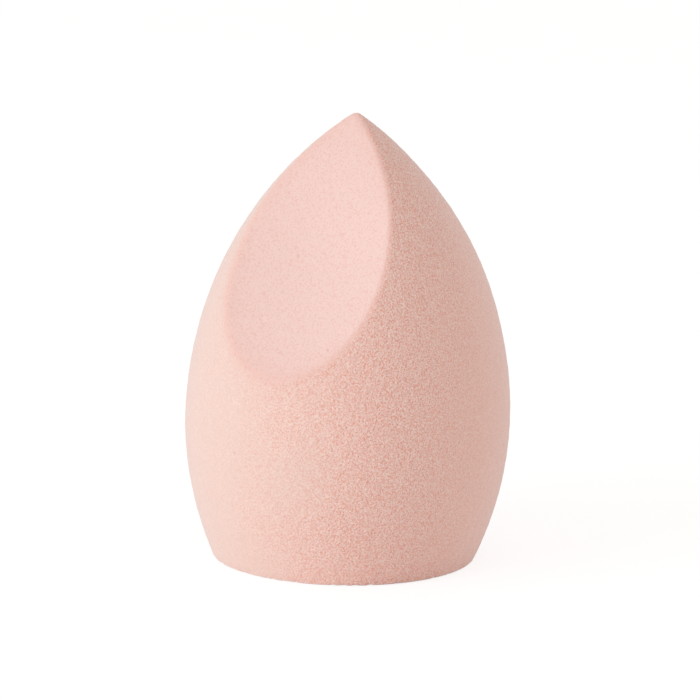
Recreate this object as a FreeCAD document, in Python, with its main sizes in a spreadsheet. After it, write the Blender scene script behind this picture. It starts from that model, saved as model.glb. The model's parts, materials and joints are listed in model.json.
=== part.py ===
import FreeCAD, Part

import math
import os

import Sketcher

# A drop-shaped makeup sponge, cut from one piece of soft foam.
# It stands on its flat base, +Z up through its tip, with the origin at the middle of the base.
# The slanted facet faces -Y, so the sponge is its own mirror image across X = 0.

doc = FreeCAD.newDocument("makeup_sponge")

# Driving sizes, in millimetres and degrees

SIZES = [
    ("sponge_height", 60.0, "base to rounded tip"),
    ("belly_diameter", 43.5, "across the widest ring"),
    ("belly_height", 19.0, "height of the widest ring above the base"),
    ("skirt_radius", 46.0, "curve of the side from the belly down to the base"),
    ("tip_radius", 1.2, "rounding of the pointed top"),
    ("base_edge_radius", 0.6, "rounding of the cut edge round the base"),
    ("facet_lean", 32.7, "angle between the facet and the upright axis"),
    ("facet_rise", 0.45, "how far above the tip the plane of the facet meets the axis"),
    ("facet_edge_radius", 0.4, "rounding of the cut edge round the facet"),
    ("cut_overrun", 5.0, "how far the facet's cut reaches past the belly"),
]

sheet = doc.addObject("Spreadsheet::Sheet", "sizes")
for row, (alias, value, meaning) in enumerate(SIZES, start=1):
    sheet.set(f"A{row}", alias)
    sheet.set(f"B{row}", str(value))
    sheet.set(f"C{row}", meaning)
    sheet.setAlias(f"B{row}", alias)
doc.recompute()

# Helpers for sketches and edges

constrain = Sketcher.Constraint
START, END, CENTRE = 1, 2, 3  # which point of a line or an arc a constraint takes
ROOT = -1  # the sketch's own horizontal axis, whose start is its origin
UPRIGHT = -2  # the sketch's own vertical axis


def new_sketch(body, name, role):
    """An empty sketch on the plane of the body's own origin that has this role."""
    plane = next(plane for plane in body.Origin.OriginFeatures if plane.Role == role)
    sketch = body.newObject("Sketcher::SketchObject", name)
    sketch.AttachmentSupport = (plane, "")
    sketch.MapMode = "FlatFace"
    return sketch


def drive(sketch, name, expression, constraint):
    """Adds a constraint, names it and binds its value to the sheet."""
    index = sketch.addConstraint(constraint)
    sketch.renameConstraint(index, name)
    sketch.setExpression(f"Constraints.{name}", expression)


def flat_point(across, up):
    """A point of a sketch."""
    return FreeCAD.Vector(across, up, 0)


def line(first_point, last_point):
    return Part.LineSegment(first_point, last_point)


def arc(centre, radius, first_point, last_point):
    """The arc about a centre from one point round to another, anticlockwise."""
    circle = Part.Circle(centre, FreeCAD.Vector(0, 0, 1), radius)
    return Part.ArcOfCircle(circle, circle.parameter(first_point), circle.parameter(last_point))


def rim_of(shape, on_plane):
    """The names of the edges round the flat face whose middle passes the test."""
    flat = [face for face in shape.Faces if isinstance(face.Surface, Part.Plane)]
    chosen = next(face for face in flat if on_plane(face.CenterOfMass))
    numbered = enumerate(shape.Edges, start=1)
    return [f"Edge{number}" for number, edge in numbered if any(edge.isSame(side) for side in chosen.Edges)]


body = doc.addObject("PartDesign::Body", "foam_body")
body.Label = "foam_body"
body.Placement = FreeCAD.Placement()

# Half outline of the drop, from the sheet's sizes

height = sheet.sponge_height
belly = sheet.belly_diameter / 2
waist = sheet.belly_height
skirt = sheet.skirt_radius
edge = sheet.base_edge_radius
tip = sheet.tip_radius
# The shoulder curve leaves the belly upright and runs smoothly into the rounded tip.
rise = height - tip - waist
shoulder = (belly**2 + rise**2 - tip**2) / (2 * (belly - tip))

middle = flat_point(0, 0)
skirt_centre = flat_point(belly - skirt, waist)
edge_reach = math.sqrt((skirt - edge) ** 2 - (waist - edge) ** 2)
edge_centre = flat_point(skirt_centre.x + edge_reach, edge)
base_end = flat_point(edge_centre.x, 0)
skirt_start = skirt_centre + (edge_centre - skirt_centre).normalize() * skirt
belly_point = flat_point(belly, waist)
shoulder_centre = flat_point(belly - shoulder, waist)
tip_centre = flat_point(0, height - tip)
tip_start = shoulder_centre + (tip_centre - shoulder_centre).normalize() * shoulder
tip_top = flat_point(0, height)

outline = new_sketch(body, "half_outline", "XZ_Plane")
base_line = outline.addGeometry(line(middle, base_end))
edge_arc = outline.addGeometry(arc(edge_centre, edge, base_end, skirt_start))
skirt_arc = outline.addGeometry(arc(skirt_centre, skirt, skirt_start, belly_point))
shoulder_arc = outline.addGeometry(arc(shoulder_centre, shoulder, belly_point, tip_start))
tip_arc = outline.addGeometry(arc(tip_centre, tip, tip_start, tip_top))
axis_line = outline.addGeometry(line(tip_top, middle))
outline.addConstraint(
    [
        constrain("Coincident", base_line, START, ROOT, START),
        constrain("Tangent", base_line, END, edge_arc, START),
        constrain("Tangent", edge_arc, END, skirt_arc, START),
        constrain("Coincident", skirt_arc, END, shoulder_arc, START),
        constrain("Tangent", shoulder_arc, END, tip_arc, START),
        constrain("Coincident", tip_arc, END, axis_line, START),
        constrain("Coincident", axis_line, END, base_line, START),
        constrain("Horizontal", base_line),
        constrain("Vertical", axis_line),
        constrain("Horizontal", skirt_arc, CENTRE, skirt_arc, END),
        constrain("Horizontal", shoulder_arc, CENTRE, shoulder_arc, START),
        constrain("PointOnObject", tip_arc, CENTRE, UPRIGHT),
    ]
)
belly_reach = constrain("DistanceX", ROOT, START, skirt_arc, END, belly)
belly_level = constrain("DistanceY", ROOT, START, skirt_arc, END, waist)
tip_level = constrain("DistanceY", ROOT, START, tip_arc, END, height)
drive(outline, "belly_reach", "sizes.belly_diameter / 2", belly_reach)
drive(outline, "belly_level", "sizes.belly_height", belly_level)
drive(outline, "tip_level", "sizes.sponge_height", tip_level)
drive(outline, "edge_curve", "sizes.base_edge_radius", constrain("Radius", edge_arc, edge))
drive(outline, "skirt_curve", "sizes.skirt_radius", constrain("Radius", skirt_arc, skirt))
drive(outline, "tip_curve", "sizes.tip_radius", constrain("Radius", tip_arc, tip))
doc.recompute()

drop = body.newObject("PartDesign::Revolution", "drop")
drop.Profile = outline
drop.ReferenceAxis = (outline, ["V_Axis"])
drop.Angle = 360
doc.recompute()

# Slanted facet: one straight cut down the front, from just above the tip to the upper side

lean = math.radians(sheet.facet_lean)
facet_top = height + sheet.facet_rise
facet_reach = belly + sheet.cut_overrun
facet_fall = facet_reach / math.tan(lean)
facet_peak = flat_point(0, facet_top)
facet_foot = flat_point(-facet_reach, facet_top - facet_fall)
facet_corner = flat_point(-facet_reach, facet_top)

wedge = new_sketch(body, "facet_wedge", "YZ_Plane")
slant = wedge.addGeometry(line(facet_peak, facet_foot))
outer = wedge.addGeometry(line(facet_foot, facet_corner))
level = wedge.addGeometry(line(facet_corner, facet_peak))
wedge.addConstraint(
    [
        constrain("Coincident", slant, END, outer, START),
        constrain("Coincident", outer, END, level, START),
        constrain("Coincident", level, END, slant, START),
        constrain("Vertical", outer),
        constrain("Horizontal", level),
        constrain("PointOnObject", slant, START, UPRIGHT),
    ]
)
reach_expression = "sizes.belly_diameter / 2 + sizes.cut_overrun"
fall_expression = f"({reach_expression}) / tan(sizes.facet_lean * 1 deg)"
wedge_peak = constrain("DistanceY", ROOT, START, slant, START, facet_top)
wedge_reach = constrain("DistanceX", outer, END, ROOT, START, facet_reach)
wedge_fall = constrain("DistanceY", slant, END, slant, START, facet_fall)
drive(wedge, "wedge_peak", "sizes.sponge_height + sizes.facet_rise", wedge_peak)
drive(wedge, "wedge_reach", reach_expression, wedge_reach)
drive(wedge, "wedge_fall", fall_expression, wedge_fall)
doc.recompute()

facet = body.newObject("PartDesign::Pocket", "facet")
facet.Profile = wedge
facet.Type = "ThroughAll"
facet.Midplane = True
doc.recompute()
if not facet.Shape.Volume < drop.Shape.Volume:
    raise RuntimeError("the facet's cut took nothing off the drop")

# Soft rim: the blade leaves the edge of the facet a little rounded

ON_FACET_SHARE = 1e-5  # of the sponge's height: a point this near to the facet's plane lies on it
facet_normal = FreeCAD.Vector(0, -math.cos(lean), math.sin(lean))
facet_point = FreeCAD.Vector(0, 0, facet_top)


def on_facet(point):
    return abs((point - facet_point).dot(facet_normal)) < ON_FACET_SHARE * height


facet_rim = body.newObject("PartDesign::Fillet", "facet_rim")
facet_rim.Base = (facet, rim_of(facet.Shape, on_facet))
facet_rim.setExpression("Radius", "sizes.facet_edge_radius")
body.Tip = facet_rim
doc.recompute()

# Nothing is written unless every object is sound and the foam is one closed solid

failed = [item.Name for item in doc.Objects if {"Invalid", "Error"} & set(item.State)]
if failed:
    raise RuntimeError("failed objects: " + ", ".join(failed))
shape = body.Shape
if shape.isNull() or not shape.isValid() or len(shape.Solids) != 1:
    raise RuntimeError("the foam body isn't one valid solid")

os.makedirs("parts", exist_ok=True)
shape.exportStep(f"parts/{body.Label}.step")

box = shape.BoundBox
print(f"{body.Label}: {box.XLength:.2f} x {box.YLength:.2f} x {box.ZLength:.2f} mm")
print(f"volume {shape.Volume:.0f} mm3, flat base radius {base_end.x:.2f} mm, shoulder curve {shoulder:.2f} mm")
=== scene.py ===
# %% [markdown]
# # A makeup sponge
# The real object is one drop of soft foam. It is ground to a round side with a pointed tip, a
# straight cut leaves a slanted facet for dabbing, and another leaves the flat base that it
# stands on. This lesson loads the solid that gives its size and place, makes the foam again as
# a fine surface, gives it a finish, and lights it as in a small white studio.

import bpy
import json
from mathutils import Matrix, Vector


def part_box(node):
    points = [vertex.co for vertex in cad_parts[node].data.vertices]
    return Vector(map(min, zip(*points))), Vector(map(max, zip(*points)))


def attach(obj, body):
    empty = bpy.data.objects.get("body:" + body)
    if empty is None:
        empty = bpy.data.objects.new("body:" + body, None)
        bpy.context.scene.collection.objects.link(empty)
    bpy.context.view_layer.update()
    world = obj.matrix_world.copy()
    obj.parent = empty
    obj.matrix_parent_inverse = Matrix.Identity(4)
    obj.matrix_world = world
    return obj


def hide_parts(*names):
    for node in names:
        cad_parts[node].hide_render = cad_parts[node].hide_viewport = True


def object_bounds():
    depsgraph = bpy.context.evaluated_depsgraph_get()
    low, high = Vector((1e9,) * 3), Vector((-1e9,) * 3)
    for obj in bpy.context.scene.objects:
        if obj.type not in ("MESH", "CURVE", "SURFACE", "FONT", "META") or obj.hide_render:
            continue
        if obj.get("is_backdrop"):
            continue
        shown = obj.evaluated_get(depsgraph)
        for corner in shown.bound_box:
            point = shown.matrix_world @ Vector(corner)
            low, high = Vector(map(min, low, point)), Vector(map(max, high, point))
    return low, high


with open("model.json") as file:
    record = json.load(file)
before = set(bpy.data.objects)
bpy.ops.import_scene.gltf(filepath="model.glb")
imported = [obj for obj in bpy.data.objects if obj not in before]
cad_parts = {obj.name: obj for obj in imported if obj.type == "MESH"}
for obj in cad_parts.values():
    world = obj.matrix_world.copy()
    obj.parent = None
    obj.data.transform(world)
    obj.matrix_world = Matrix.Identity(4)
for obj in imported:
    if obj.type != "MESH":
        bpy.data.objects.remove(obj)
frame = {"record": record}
cad_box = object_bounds()

# %% Tools and units
import json
import math

import bpy
import numpy as np
from mathutils import Matrix, Vector

MM = 0.001  # Blender's unit here is the metre, and the sponge is measured in millimetres
scene = bpy.context.scene
print("Blender", bpy.app.version_string)

# %% [markdown]
# ## Camera
# The photograph looks a little down on the sponge, from the right of its facet, through a long
# lens that hardly narrows the far side. A camera can be placed by hand until the outlines
# agree. Here its angles are written down instead, and the three directions that they give are
# the columns of the camera's matrix: its right, its up, and the way back from the picture.

# %% Camera
camera_azimuth = math.radians(27.69)  # turned about the sponge from straight in front of the facet
camera_elevation = math.radians(11.81)
camera_roll = math.radians(0.97)  # the picture leans by this much
camera_distance = 600 * MM
camera_lens = 230.74  # a camera's own numbers, its lens and its picture, are in millimetres
picture_width = 36
aim_height = 27.93 * MM
aim_aside = 0.407 * MM


def direction(azimuth, elevation):
    """The way from the sponge at an azimuth, counted to the right of the facet, and an elevation.

    It is the level way times the elevation's cosine, and up by its sine.
    """
    level = Vector((math.sin(azimuth), -math.cos(azimuth), 0))
    return level * math.cos(elevation) + Vector((0, 0, math.sin(elevation)))


back = direction(camera_azimuth, camera_elevation)
level_right = direction(camera_azimuth + math.pi / 2, 0)
level_up = back.cross(level_right)
right = level_right * math.cos(camera_roll) + level_up * math.sin(camera_roll)
up = back.cross(right)
aim = Vector((0, 0, aim_height)) + level_right * aim_aside

camera = bpy.data.objects.new("camera", bpy.data.cameras.new("camera"))
camera.data.sensor_width = picture_width
camera.data.lens = camera_lens
turned = Matrix((right, up, back)).transposed().to_4x4()
camera.matrix_world = Matrix.Translation(aim + back * camera_distance) @ turned
scene.collection.objects.link(camera)
scene.camera = camera
print("camera at", [round(value / MM) for value in camera.matrix_world.translation], "mm")

# %% [markdown]
# ## The drop
# Grinding leaves a side that bulges to a belly and closes to a tip. A turned profile would give
# that shape too, but the facet has to be cut from it later, so the drop is written as a
# distance: how far a point lies outside the foam, and negative inside. Each part of the side is
# a circle's arc in the plane of radius and height, and the distance to a circle is the distance
# to its centre, less its radius.

# %% The drop as a distance
low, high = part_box("foam_body")
sponge_height = high.z - low.z
belly_radius = (high.x - low.x) / 2
belly_height = 19 * MM
skirt_radius = 46 * MM
tip_radius = 1.2 * MM

tip_level = sponge_height - tip_radius
tip_rise = tip_level - belly_height
shoulder_radius = (belly_radius**2 + tip_rise**2 - tip_radius**2) / (2 * (belly_radius - tip_radius))
tip_slope = tip_rise / (shoulder_radius - belly_radius)


def drop_distance(points):
    """Distance to the turned side, from three arcs in the plane of radius and height.

    Below the belly it is the skirt's circle and above it the shoulder's, both with centres level
    with the belly. Points steeper above the tip's centre than the line from the shoulder's centre
    belong to the tip's small ball.
    """
    radius = np.hypot(points[..., 0], points[..., 1])
    rise = points[..., 2] - belly_height
    skirt = np.hypot(radius - belly_radius + skirt_radius, rise) - skirt_radius
    shoulder = np.hypot(radius - belly_radius + shoulder_radius, rise) - shoulder_radius
    tip = np.hypot(radius, rise - tip_rise) - tip_radius
    on_tip = rise - tip_rise > radius * tip_slope
    return np.where(on_tip, tip, np.where(rise > 0, shoulder, skirt))


print(f"shoulder curve {shoulder_radius / MM:.2f} mm")

# %% [markdown]
# ## The cuts
# A blade cuts the facet and the base. Soft foam gives way under it, so the facet ends slightly
# hollow, and the edges are not razor sharp. A cut keeps what is inside both shapes, which is
# the larger of two distances. The soft maximum below rounds the line where they meet: where the
# two differ by less than a width, it adds a little, so the foam draws back from its edge. The
# width is small on the right of the facet, where the rim is crisp, and larger on its soft left.

# %% Facet and edges
facet = next(mount for mount in frame["record"]["mounts"] if mount["name"] == "facet_face")
facet_middle = np.array(facet["pos_m"])
facet_normal = np.array(facet["axis"])
facet_right = np.array([1.0, 0.0, 0.0])
facet_up = np.cross(facet_normal, facet_right)
facet_hollow_share = 0.26  # of the depth to which the facet cuts into the drop
hollow_top = 60 * MM  # the hollow fades out between these two heights
hollow_full = 40 * MM
crisp_rim = 0.38 * MM  # widths over which the edges are rounded
soft_rim = 0.5 * MM
rim_crisp_from = 5 * MM  # to the right of the facet's middle line
rim_soft_from = -8 * MM
base_edge = 0.2 * MM
print("facet middle", np.round(facet_middle / MM, 1), "mm, facing", np.round(facet_normal, 3))

# %% Soft joins


def smooth_step(values, start, end):
    """From 0 at the start to 1 at the end: three times the square of the share, less twice its cube."""
    share = np.clip((values - start) / (end - start), 0, 1)
    return 3 * share**2 - 2 * share**3


def soft_maximum(first, second, width):
    """The larger of two values, plus the square of what their gap lacks to the width, over four widths."""
    lack = np.maximum(width - np.abs(first - second), 0)
    return np.maximum(first, second) + lack**2 / (4 * width)


print(f"two equal distances join {soft_maximum(0, 0, crisp_rim) / MM:.3f} mm further in at a crisp rim")

# %% The foam as one distance


def facet_distance(points):
    """Height above the facet's plane, plus a hollow that is a share of the depth inside the drop.

    That depth fades to nothing at the rim, so the rim stays where the flat cut would leave it.
    """
    depth = np.maximum(-drop_distance(points), 0)
    hollow = facet_hollow_share * smooth_step(points[..., 2], hollow_top, hollow_full)
    return (points - facet_middle) @ facet_normal + hollow * depth


def rim_width(points):
    """How wide the facet's rim is rounded: the crisp width, which goes over to the soft one on the left."""
    softness = smooth_step(points @ facet_right, rim_crisp_from, rim_soft_from)
    return crisp_rim + (soft_rim - crisp_rim) * softness


def standing_distance(points):
    """The drop, cut off by the plane that it stands on: the soft maximum of the two distances."""
    return soft_maximum(drop_distance(points), -points[..., 2], base_edge)


def foam_distance(points):
    """The standing drop, cut by the facet in front: again the soft maximum of two distances."""
    return soft_maximum(standing_distance(points), facet_distance(points), rim_width(points))


hollow_depth = foam_distance(facet_middle)
print(f"the hollow is {hollow_depth / MM:.2f} mm deep at the facet's middle")

# %% [markdown]
# ## A grid over the foam
# Seen from a point inside, every part of the foam lies in a direction of its own, so a surface
# is a direction for each grid point and a distance along it. A plain grid of latitude and
# longitude would cross the facet's rim at a slant and leave it ragged. This one is laid like a
# drum instead: one disc of squares on the facet, one on the base, and a band of rings between
# them, so that a ring follows each cut edge.

# %% Rays from the core
core_share = 0.45  # of the sponge's height
core = np.array([0.0, 0.0, core_share * sponge_height])
longest_reach = 2 * sponge_height
HALVINGS = 40


def unit(vectors):
    """Each vector divided by its length."""
    return vectors / np.linalg.norm(vectors, axis=-1, keepdims=True)


def reach(start, ways, distance):
    """The point on each ray from the start where the distance turns positive.

    The stretch that holds the surface is halved again and again, for all rays at once.
    """
    near = np.zeros(ways.shape[:-1])
    far = np.full(ways.shape[:-1], longest_reach)
    for _ in range(HALVINGS):
        middle = (near + far) / 2
        inside = distance(start + middle[..., None] * ways) < 0
        near = np.where(inside, middle, near)
        far = np.where(inside, far, middle)
    return start + near[..., None] * ways


print(f"rays start {core[2] / MM:.1f} mm above the base")

# %% Discs of squares
DISC_CELLS = 98  # squares along each side of a disc
RING_CELLS = 4 * DISC_CELLS  # squares round its edge
EDGE_CROWDING = 0.6


def disc_grid():
    """A square grid laid on a disc: the radius, from 0 to 1, and the angle of each grid point.

    Each square ring becomes a circle. Its radius is the larger of the two coordinates, crowded
    towards the edge as r + c r (1 - r), and its angle turns evenly along each of the four sides.
    """
    steps = np.linspace(-1, 1, DISC_CELLS + 1)
    first, second = np.meshgrid(steps, steps, indexing="ij")
    size = np.maximum(np.abs(first), np.abs(second))
    upright = np.abs(first) >= np.abs(second)
    share = np.where(upright, second, -first) / np.where(size == 0, 1, size)
    turned_share = share * np.sign(np.where(upright, first, second))
    side = np.where(upright, np.where(first < 0, 4, 0), np.where(second < 0, 6, 2))
    return size + EDGE_CROWDING * size * (1 - size), (side + turned_share) * math.pi / 4


def rim_of(numbers):
    """The numbers round a square grid's edge, anticlockwise from the corner at minus 45 degrees."""
    sides = [numbers[-1, :-1], numbers[:0:-1, -1], numbers[0, :0:-1], numbers[:-1, 0]]
    return np.concatenate(sides)


disc_size, disc_angle = disc_grid()
disc_numbers = np.arange(disc_size.size).reshape(disc_size.shape)
print("disc of", disc_size.size, "points, ring of", rim_of(disc_numbers).size)

# %% Directions of the two discs
base_corner = belly_radius - skirt_radius + math.sqrt(skirt_radius**2 - belly_height**2)


def on_circle(angle, first_way, second_way):
    """At each angle, its cosine times the first direction plus its sine times the second."""
    return np.cos(angle)[..., None] * first_way + np.sin(angle)[..., None] * second_way


facet_ways = on_circle(disc_angle, facet_right, facet_up)
facet_rim = reach(facet_middle, facet_ways, drop_distance)
facet_points = facet_middle + disc_size[..., None] * (facet_rim - facet_middle)

base_ways = on_circle(disc_angle, np.array([1.0, 0.0, 0.0]), np.array([0.0, 1.0, 0.0]))
base_points = disc_size[..., None] * base_corner * base_ways

facet_rays = unit(facet_points - core).reshape(-1, 3)
base_rays = unit(base_points - core).reshape(-1, 3)
print(f"base corner {base_corner / MM:.2f} mm from the axis")

# %% Directions of the band
BAND_RINGS = 204
CROWDED_RINGS = 12
edge_step_share = 0.15  # of a middle step


def band_shares():
    """Where each ring lies between the facet's rim, 0, and the base's corner, 1.

    The steps add up to the shares. Near both edges they shrink as a constant less an exponential.
    """
    from_rim = np.arange(BAND_RINGS)
    from_base = from_rim[::-1]
    shrink = np.exp(-from_rim / CROWDED_RINGS) + np.exp(-from_base / CROWDED_RINGS)
    steps = 1 - (1 - edge_step_share) * shrink
    return np.cumsum(steps)[:-1] / steps.sum()


rim_rays = facet_rays[rim_of(disc_numbers)]
corner_rays = base_rays[rim_of(disc_numbers)]
angle_between = np.arccos((rim_rays * corner_rays).sum(-1))[:, None]
share = band_shares()[:, None, None]
rim_part = np.sin((1 - share) * angle_between) * rim_rays
corner_part = np.sin(share * angle_between) * corner_rays
band_rays = ((rim_part + corner_part) / np.sin(angle_between)).reshape(-1, 3)

rays = np.concatenate([facet_rays, base_rays, band_rays])
smooth_points = reach(core, rays, foam_distance)
print(len(smooth_points), "points on the foam")

# %% Squares between the points
disc_count = disc_size.size
facet_numbers = disc_numbers
base_numbers = disc_numbers + disc_count
band_numbers = np.arange(2 * disc_count, len(rays)).reshape(-1, RING_CELLS)
ring_numbers = np.vstack([rim_of(facet_numbers), band_numbers, rim_of(base_numbers)])


def squares(numbers):
    """Four corners for each cell of a numbered grid, anticlockwise with the second axis up."""
    corners = [numbers[:-1, :-1], numbers[1:, :-1], numbers[1:, 1:], numbers[:-1, 1:]]
    return np.stack(corners, axis=-1).reshape(-1, 4)


closed_rings = np.hstack([ring_numbers, ring_numbers[:, :1]])
cells = np.concatenate([squares(facet_numbers), squares(base_numbers)[:, ::-1], squares(closed_rings)])
print(len(cells), "squares,", 2 * len(cells), "triangles")

# %% [markdown]
# ## Unevenness and nap
# Foam springs back as it is ground, so its outline wavers by a few hundredths of a millimetre,
# the side has a fine nap, and the cut leaves tiny nicks round the base. Noise could displace the
# mesh in a modifier. Here it is a sum of plane waves in all directions with seeded phases, which
# is smooth, the same on every run, and has just the wavelengths that the grid can carry. The
# whole drop also leans over its base by less than a degree, as the one in the photograph does.

# %% Waves
SEED = 7
WAVES = 60
random = np.random.default_rng(SEED)


def waves(points, shortest, longest):
    """A sum of cosine waves with random directions, wavelengths and phases.

    It is divided by the root of half their number, which gives it a spread of one.
    """
    ways = unit(random.normal(size=(WAVES, 3)))
    lengths = random.uniform(shortest, longest, WAVES)
    phases = random.uniform(0, 2 * math.pi, WAVES)
    angles = points @ (ways * 2 * math.pi / lengths[:, None]).T + phases
    return np.cos(angles).sum(-1) * math.sqrt(2 / WAVES)


def outward(points):
    """The way in which the foam's distance grows fastest, from its differences over a small step."""
    step = 0.01 * MM
    axes = np.eye(3) * step
    slopes = [foam_distance(points + axis) - foam_distance(points - axis) for axis in axes]
    return unit(np.stack(slopes, axis=-1))


print(WAVES, "waves in each sum")

# %% Where the cuts are
normals = outward(smooth_points)
rim_gap = facet_distance(smooth_points) - standing_distance(smooth_points)
cut = np.clip(0.5 + 0.5 * rim_gap / rim_width(smooth_points), 0, 1)
on_base = np.clip(1 - smooth_points[:, 2] / base_edge, 0, 1)
print(f"{(cut > 0.5).sum()} points on the facet and {(on_base > 0.5).sum()} on the base")

# %% Unevenness, nap and nicks
waver_lengths = (12 * MM, 40 * MM)  # the shortest and the longest wave
nap_lengths = (1.1 * MM, 2.0 * MM)
nick_lengths = (0.9 * MM, 1.6 * MM)

waver = waves(smooth_points, *waver_lengths)
nap = waves(smooth_points, *nap_lengths)
nicks = np.maximum(waves(smooth_points, *nick_lengths), 0)
print(f"the waver runs from {waver.min():.1f} to {waver.max():.1f}, and the nicks to {nicks.max():.1f}")

# %% Lift of each point
unevenness = 0.03 * MM
nap_depth = 0.012 * MM
cut_nap_share = 0.4  # of the nap's depth, on the facet
nick_depth = 0.05 * MM
nick_reach = 0.7 * MM  # from the base's corner

from_axis = np.hypot(smooth_points[:, 0], smooth_points[:, 1])
from_corner = np.hypot(from_axis - base_corner, smooth_points[:, 2])
lift = unevenness * waver * (1 - cut) + nap_depth * nap * (1 - (1 - cut_nap_share) * cut)
lift = lift * (1 - on_base) - nick_depth * nicks * np.exp(-((from_corner / nick_reach) ** 2))
lifted_points = smooth_points + normals * lift[:, None]
print(f"lift {lift.min() / MM:.3f} to {lift.max() / MM:.3f} mm")

# %% Lean
lean = math.tan(math.radians(0.67))  # to the camera's right, because the base isn't cut quite square
foam_points = lifted_points + lean * lifted_points[:, 2:] * np.array(level_right)
print(f"the tip leans over by {lean * sponge_height / MM:.1f} mm")

# %% [markdown]
# ## Where the finish changes
# Along the facet's rim the pink is deeper: painted shade, as in a groove and where the side turns
# into shadow. The side to the left of the facet, which the key lamp lights full on, is painted
# paler and with fainter nap, which is painted light. The nap is deepest in front, and finer again
# round to the right. Such places could be painted by hand. Here each is a number at every point,
# worked out from the shape, which the mesh carries as an attribute and the finish reads.

# %% Painted shade along the facet's rim
facet_reach = 0.75 * MM  # from the rim onto the facet
side_reach = 0.5 * MM
crisp_reach = 0.2 * MM  # both ways, on the right of the facet
crisp_from = 0.2  # the cosine of the angle from there, about the facet's middle
crisp_full = 0.8
SMALLEST = 1e-6  # stands in for nought where a length divides

from_middle = smooth_points - facet_middle
across = from_middle @ facet_right
turn_cosine = across / np.maximum(np.hypot(across, from_middle @ facet_up), SMALLEST)
crispness = smooth_step(turn_cosine, crisp_from, crisp_full)
soft_reach = np.where(rim_gap > 0, facet_reach, side_reach)
rim_reach = soft_reach + (crisp_reach - soft_reach) * crispness
# Painted shade: how much of the darker pink band, which stands for shade along the facet's rim, each point
# takes.
rim = np.exp(-np.abs(rim_gap) / rim_reach)
print(f"painted rim shade on {(rim > 0.5).mean():.1%} of the points")

# %% Lit side, painted paler
# Painted light: the side to the left of the facet, which the key lamp lights full on, is given a paler nap
# with fainter grain.
lit_side_azimuth = math.radians(-37)  # to the left of the facet
lit_side_until = math.radians(10)  # from that azimuth
rough_from = math.radians(75)
patchiness = math.radians(4)
patch_lengths = (6 * MM, 20 * MM)

level_length = np.maximum(np.linalg.norm(normals[:, :2], axis=-1), SMALLEST)
facing_lit_side = normals[:, :2] @ np.array(direction(lit_side_azimuth, 0))[:2] / level_length
patches = waves(smooth_points, *patch_lengths)
from_lit_side = np.arccos(np.clip(facing_lit_side, -1, 1)) + patchiness * patches
rough = smooth_step(from_lit_side, lit_side_until, rough_from)
print(f"rough nap on {rough.mean():.0%} of the points")

# %% Fine side
fine_azimuth = math.radians(118)  # round to the right
fine_from = 7 * MM  # from the axis towards that azimuth
fine_until = 20 * MM
fine_share = 0.4  # of the deepest nap

towards_fine = smooth_points @ np.array(direction(fine_azimuth, 0))
nap_share = 1 - (1 - fine_share) * smooth_step(towards_fine, fine_from, fine_until)
print(f"the nap is {nap_share.mean():.0%} deep on average")

# %% Relief of the nap
relief_from = math.radians(20)  # from the lit side's azimuth
relief_full = math.radians(105)
lit_side_relief = 0.2  # of the deepest nap's relief

depth_share = smooth_step(from_lit_side, relief_from, relief_full)
relief = (lit_side_relief + (1 - lit_side_relief) * depth_share) * nap_share
print(f"relief from {relief.min():.2f} to {relief.max():.2f} of the deepest")

# %% The foam piece
foam_mesh = bpy.data.meshes.new("foam_drop")
foam_mesh.from_pydata(foam_points, [], cells)
foam_mesh.shade_smooth()
places = {
    "cut": np.maximum(cut, on_base),
    "rim": rim,
    "rough": rough,
    "nap": nap_share,
    "relief": relief,
}
for name, values in places.items():
    attribute = foam_mesh.attributes.new(name, "FLOAT", "POINT")
    attribute.data.foreach_set("value", values.astype(np.float32))
foam_mesh.validate()
foam = bpy.data.objects.new("foam_drop", foam_mesh)
scene.collection.objects.link(foam)
print("foam piece:", len(foam_mesh.vertices), "vertices, which carry", ", ".join(places))

# %% [markdown]
# ## Foam finish
# Ground foam has a fine nap of torn cell walls: pale ridges that scatter light, and pits between
# them that look deeper pink because light bounces inside them. The side that the key lamp lights
# full on is painted paler, with fainter nap, which is painted light. The cut faces are smoother,
# with tiny pink pores, and a few brown specks lie anywhere. A picture of foam could be wrapped
# round the mesh, but it would stretch. Here all comes from noise in the sponge's own millimetres,
# mixed by the attributes of the mesh.

# %% Material and nodes
foam_material = bpy.data.materials.new("foam")
foam_material.use_nodes = True
foam_tree = foam_material.node_tree


def add(tree, kind, properties=None, **inputs):
    """A new node in a tree. Each input is called by its identifier, and takes a value or an output."""
    node = tree.nodes.new(kind)
    for name, value in (properties or {}).items():
        setattr(node, name, value)
    for identifier, value in inputs.items():
        target = next(socket for socket in node.inputs if socket.identifier == identifier)
        if isinstance(value, bpy.types.NodeSocket):
            tree.links.new(value, target)
        else:
            target.default_value = value
    return node


print("material", foam_material.name)

# %% Grain and pores
grain_size = 0.27 * MM
tone_size = 0.21 * MM
pore_size = 0.26 * MM
noise_turn = (0.6, 0.9, 0.4)  # so that no layer of the noise lies along the side or a cut
upright_place = add(foam_tree, "ShaderNodeTexCoord").outputs["Object"]
place = add(foam_tree, "ShaderNodeMapping", Vector=upright_place, Rotation=noise_turn).outputs["Vector"]


def noise(size, detail):
    """Smooth noise about 0.5. Its scale is one over a grain's size, and detail adds finer layers."""
    node = add(foam_tree, "ShaderNodeTexNoise", Vector=place, Scale=1 / size, Detail=detail)
    return node.outputs["Fac"]


grain = noise(grain_size, detail=0.0)
tone = noise(tone_size, detail=1.0)
pores = noise(pore_size, detail=1.0)
print("noise nodes:", sum(node.type == "TEX_NOISE" for node in foam_tree.nodes))

# %% Tone of the rough nap
level_tone = 0.5  # the noise lies about this value


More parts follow.
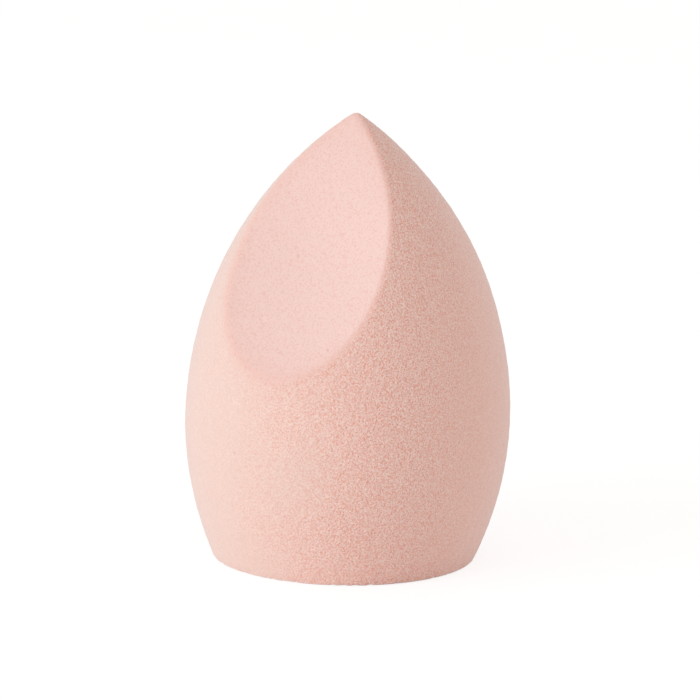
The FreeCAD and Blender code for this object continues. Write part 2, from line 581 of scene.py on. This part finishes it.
def math_node(tree, operation, first, second, third=0.0):
    """The result of one sum on outputs or values."""
    values = {"Value": first, "Value_001": second, "Value_002": third}
    return add(tree, "ShaderNodeMath", {"operation": operation}, **values).outputs["Value"]


def carried(name):
    """What the foam's mesh carries under a name."""
    return add(foam_tree, "ShaderNodeAttribute", {"attribute_name": name}).outputs["Fac"]


tone_gap = math_node(foam_tree, "SUBTRACT", tone, level_tone)
rough_tone = math_node(foam_tree, "MULTIPLY_ADD", tone_gap, carried("nap"), level_tone)
print("a fine nap draws its tone in towards", level_tone)

# %% Colours of the side
rough_stops = [(0.32, (0.775, 0.36, 0.28)), (0.66, (0.877, 0.648, 0.575)), (0.50, (0.84, 0.532, 0.4545))]
# The lit side's paler, flatter colours are painted light from the key lamp.
lit_side_stops = [(0.30, (0.765, 0.505, 0.43)), (0.70, (0.80, 0.605, 0.53))]


def ramp(tree, source, stops):
    """A colour for each value of a source, blended between the stops, with the two ends listed first."""
    node = add(tree, "ShaderNodeValToRGB", Fac=source)
    elements = node.color_ramp.elements
    for index, (position, colour) in enumerate(stops):
        element = elements[index] if index < 2 else elements.new(position)
        element.position = position
        element.color = (*colour, 1)
    return node.outputs["Color"]


def mix_colours(tree, share, first, second, blend="MIX"):
    """The first colour where the share is 0, and the second, or their product, where it is 1."""
    inputs = {"Factor_Float": share, "A_Color": first, "B_Color": second}
    node = add(tree, "ShaderNodeMix", {"data_type": "RGBA", "blend_type": blend}, **inputs)
    return next(socket for socket in node.outputs if socket.identifier == "Result_Color")


rough_look = ramp(foam_tree, rough_tone, rough_stops)
lit_side_look = ramp(foam_tree, tone, lit_side_stops)
side_look = mix_colours(foam_tree, carried("rough"), lit_side_look, rough_look)
print("the rough nap goes from", rough_stops[0][1], "in a pit to", rough_stops[1][1], "on a ridge")

# %% Colours of the cuts
cut_stops = [(0.32, (0.80, 0.502, 0.436)), (0.52, (0.834, 0.589, 0.532))]
# Painted shade: the rim's tint darkens the pink along the facet's edges, as shade in a groove and at the
# turn into shadow.
rim_shade_tint = (0.985, 0.92, 0.905, 1)

cut_share = carried("cut")
cut_look = ramp(foam_tree, pores, cut_stops)
whole_look = mix_colours(foam_tree, cut_share, side_look, cut_look)
clean_look = mix_colours(foam_tree, carried("rim"), whole_look, rim_shade_tint, "MULTIPLY")
print("a cut goes from", cut_stops[0][1], "in a pore to", cut_stops[1][1], "between pores")

# %% Specks
speck_spacing = 7 * MM
speck_core = 0.02  # of the spacing
speck_end = 0.04
speck_strength = 0.45
speck_colour = (0.66, 0.36, 0.25, 1)
speck_cells = add(foam_tree, "ShaderNodeTexVoronoi", Vector=place, Scale=1 / speck_spacing)
speck_range = {"From Min": speck_core, "From Max": speck_end, "To Min": speck_strength, "To Max": 0.0}
speck_node = add(foam_tree, "ShaderNodeMapRange", Value=speck_cells.outputs["Distance"], **speck_range)
look = mix_colours(foam_tree, speck_node.outputs["Result"], clean_look, speck_colour)
print(f"specks up to {2 * speck_end * speck_spacing / MM:.2f} mm across")

# %% Relief
relief_depth = 0.125 * MM
cut_relief = 0.27  # of the deepest nap's relief

side_height = math_node(foam_tree, "MULTIPLY", grain, carried("relief"))
cut_height = math_node(foam_tree, "MULTIPLY", pores, cut_relief)
height_inputs = {"Factor_Float": cut_share, "A_Float": side_height, "B_Float": cut_height}
height = add(foam_tree, "ShaderNodeMix", {"data_type": "FLOAT"}, **height_inputs).outputs["Result"]
bump = add(foam_tree, "ShaderNodeBump", Strength=1.0, Distance=relief_depth, Height=height)
print(f"relief up to {relief_depth / MM:.3f} mm deep")

# %% Soft, dull surface
surface = {"Roughness": 0.95, "Specular IOR Level": 0.2, "Sheen Weight": 0.6, "Sheen Roughness": 0.5}

shader = foam_tree.nodes["Principled BSDF"]
for name, value in surface.items():
    shader.inputs[name].default_value = value
foam_tree.links.new(look, shader.inputs["Base Color"])
foam_tree.links.new(bump.outputs["Normal"], shader.inputs["Normal"])
foam_mesh.materials.append(foam_material)
print(len(foam_tree.nodes), "nodes in the foam's finish")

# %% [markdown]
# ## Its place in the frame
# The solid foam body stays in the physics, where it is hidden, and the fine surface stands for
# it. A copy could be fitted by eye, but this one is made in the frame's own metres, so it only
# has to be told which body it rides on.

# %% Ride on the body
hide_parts("foam_body")
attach(foam, "root")
print("foam_drop stands for foam_body")

# %% [markdown]
# ## Floor and light
# The studio is white. The floor is a large pale sheet that keeps the sponge's soft shadow, and
# it glows only where it is seen, so that it shows as white without throwing more light on the
# foam. A brighter lamp would also whiten it, but would wash out the pale pink. One wide soft lamp
# stands to the left, a faint one behind on the right, and the pale room fills the rest.

# %% Floor
floor_half = 3.0  # metres
floor_gap = 0.02 * MM  # below the base, so that the two never share one plane

floor_mesh = bpy.data.meshes.new("floor")
floor_square = np.array([(-1, -1, 0), (1, -1, 0), (1, 1, 0), (-1, 1, 0)])
floor_mesh.from_pydata(floor_half * floor_square - (0, 0, floor_gap), [], [(0, 1, 2, 3)])
floor = bpy.data.objects.new("floor", floor_mesh)
scene.collection.objects.link(floor)
floor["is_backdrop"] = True
print("floor", 2 * floor_half, "m wide")

# %% Floor finish
floor_grey = (0.95, 0.95, 0.95, 1)
shown_grey = (0.3, 0.3, 0.3, 1)
shown_glow = 0.78


def seen(tree):
    """One for a ray that shows the studio, from the camera or by gloss or glass, and nought for others."""
    path = add(tree, "ShaderNodeLightPath").outputs
    direct = math_node(tree, "MAXIMUM", path["Is Camera Ray"], path["Is Glossy Ray"])
    return math_node(tree, "MAXIMUM", direct, path["Is Transmission Ray"])


floor_material = bpy.data.materials.new("floor")
floor_material.use_nodes = True
floor_tree = floor_material.node_tree
floor_tree.nodes.clear()
plain = add(floor_tree, "ShaderNodeBsdfDiffuse", Color=floor_grey).outputs["BSDF"]
shaded = add(floor_tree, "ShaderNodeBsdfDiffuse", Color=shown_grey).outputs["BSDF"]
glow = add(floor_tree, "ShaderNodeEmission", Strength=shown_glow).outputs["Emission"]
shown = add(floor_tree, "ShaderNodeAddShader", Shader=shaded, Shader_001=glow).outputs["Shader"]
floor_mix = add(floor_tree, "ShaderNodeMixShader", Fac=seen(floor_tree), Shader=plain, Shader_001=shown)
add(floor_tree, "ShaderNodeOutputMaterial", Surface=floor_mix.outputs["Shader"])
floor_mesh.materials.append(floor_material)
print(len(floor_tree.nodes), "nodes in the floor's finish")

# %% Room
room_level = 0.72
room_colour = (1.0, 0.952, 0.928, 1)
white = (1.0, 1.0, 1.0, 1)

world = bpy.data.worlds.new("room")
world.use_nodes = True
scene.world = world
room_tree = world.node_tree
room_tree.nodes.clear()
lit = add(room_tree, "ShaderNodeBackground", Color=room_colour, Strength=room_level).outputs["Background"]
backdrop = add(room_tree, "ShaderNodeBackground", Color=white, Strength=1.0).outputs["Background"]
room = add(room_tree, "ShaderNodeMixShader", Fac=seen(room_tree), Shader=lit, Shader_001=backdrop)
add(room_tree, "ShaderNodeOutputWorld", Surface=room.outputs["Shader"])
print("room level", room_level)

# %% Lamps
lamp_distance = 0.9  # metres, as the two sides below
lamp_width = 0.7
lamp_height = 0.28


def lamp(name, aside, elevation, level, colour):
    """A soft lamp, turned from the camera, that lights a surface facing it to a level.

    At a level of 1 a colour shows as it is written. The energy is the level times the squares of
    pi and of the distance.
    """
    light = bpy.data.lights.new(name, "AREA")
    light.shape = "RECTANGLE"
    light.color = colour
    light.size = lamp_width
    light.size_y = lamp_height
    light.energy = level * math.pi**2 * lamp_distance**2
    way = direction(camera_azimuth + math.radians(aside), math.radians(elevation))
    placed = bpy.data.objects.new(name, light)
    placed.location = Vector((0, 0, sponge_height / 2)) + way * lamp_distance
    placed.rotation_euler = way.to_track_quat("Z", "Y").to_euler()
    scene.collection.objects.link(placed)
    print(name, "lamp of", round(light.energy, 2), "W")


lamp("key", aside=-60, elevation=12, level=0.52, colour=(0.91, 1.0, 1.07))
lamp("fill", aside=98, elevation=5, level=0.08, colour=(1.0, 1.0, 1.0))
scene.view_settings.view_transform = "Standard"

# %% [markdown]
# ## Sizes
# The fine surface must not outgrow the solid that it stands for. The two boxes could be compared
# by eye. Here both are measured, and the last line prints how far the high corner moved.

# %% Sizes and end
visual_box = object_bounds()
growth = [round((fine - solid) / MM, 2) for fine, solid in zip(visual_box[1], cad_box[1])]
print("high corner moved by", growth, "mm")
